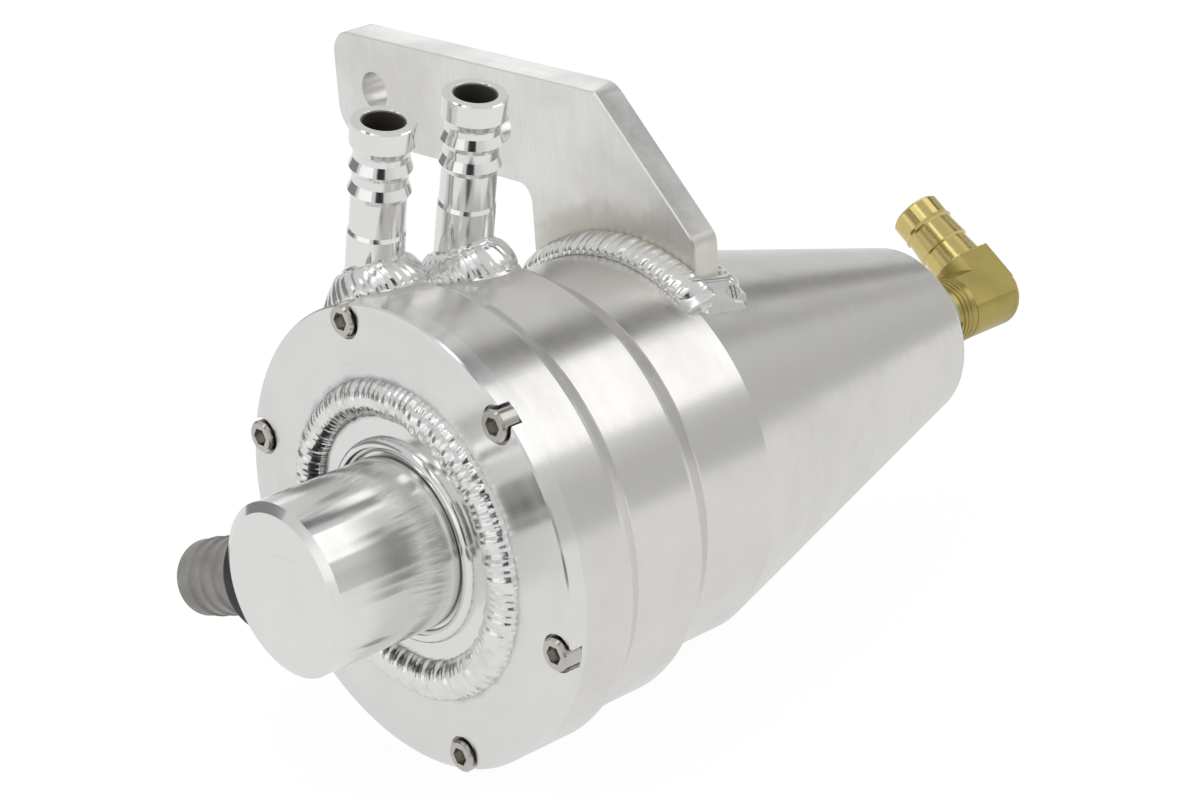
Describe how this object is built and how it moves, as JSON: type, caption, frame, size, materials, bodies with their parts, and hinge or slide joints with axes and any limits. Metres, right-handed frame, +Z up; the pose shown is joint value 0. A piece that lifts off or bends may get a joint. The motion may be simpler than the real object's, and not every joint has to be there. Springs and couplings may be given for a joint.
{
  "type": "oil catch can",
  "caption": "Turned and welded aluminium oil catch can with a screwed lid, two inlet hose barbs, a side outlet barb, a brass drain elbow and a bracket.",
  "frame": {"origin": "middle between the bracket's two bolt holes, on the bracket's back face", "axes": "+Y along the can, from the lid to the drain elbow, +Z up towards the bracket's top edge, +X from the bracket's free end towards its sloped end"},
  "size_m": [0.1647, 0.2451, 0.1537],
  "materials": {
    "turned_aluminium": "turned, satin to bright",
    "lid_aluminium": "faced and turned, satin",
    "bright_aluminium": "turned and polished bright",
    "brushed_plate": "brushed plate",
    "weld_bead": "bright rippled weld metal",
    "screw_steel": "bright stainless",
    "brass": "turned brass with dull flats",
    "spring_steel": "plain spring steel",
    "grey_plastic": "moulded, matt dark grey",
    "black_rubber": "moulded, matt black",
    "seal_rubber": "moulded, matt black",
    "sealant": "pale green cured sealant"
  },
  "bodies": {
    "root": {"can_body": "turned_aluminium", "lid": "lid_aluminium", "lid_seal": "seal_rubber", "lid_spigot": "bright_aluminium", "spigot_weld": "weld_bead", "vortex_tube": "turned_aluminium", "front_hose_barb": "bright_aluminium", "rear_hose_barb": "bright_aluminium", "front_barb_weld": "weld_bead", "rear_barb_weld": "weld_bead", "mounting_bracket": "brushed_plate", "bracket_weld_front": "weld_bead", "bracket_weld_back": "weld_bead", "drain_elbow": "brass", "thread_sealant": "sealant", "outlet_grommet": "black_rubber", "outlet_barb": "grey_plastic", "oil_baffle": "turned_aluminium", "baffle_ring": "spring_steel", "lid_screw_1": "screw_steel", "lid_screw_2": "screw_steel", "lid_screw_3": "screw_steel", "lid_screw_4": "screw_steel", "lid_screw_5": "screw_steel", "lid_screw_6": "screw_steel"}
  },
  "joints": []
}
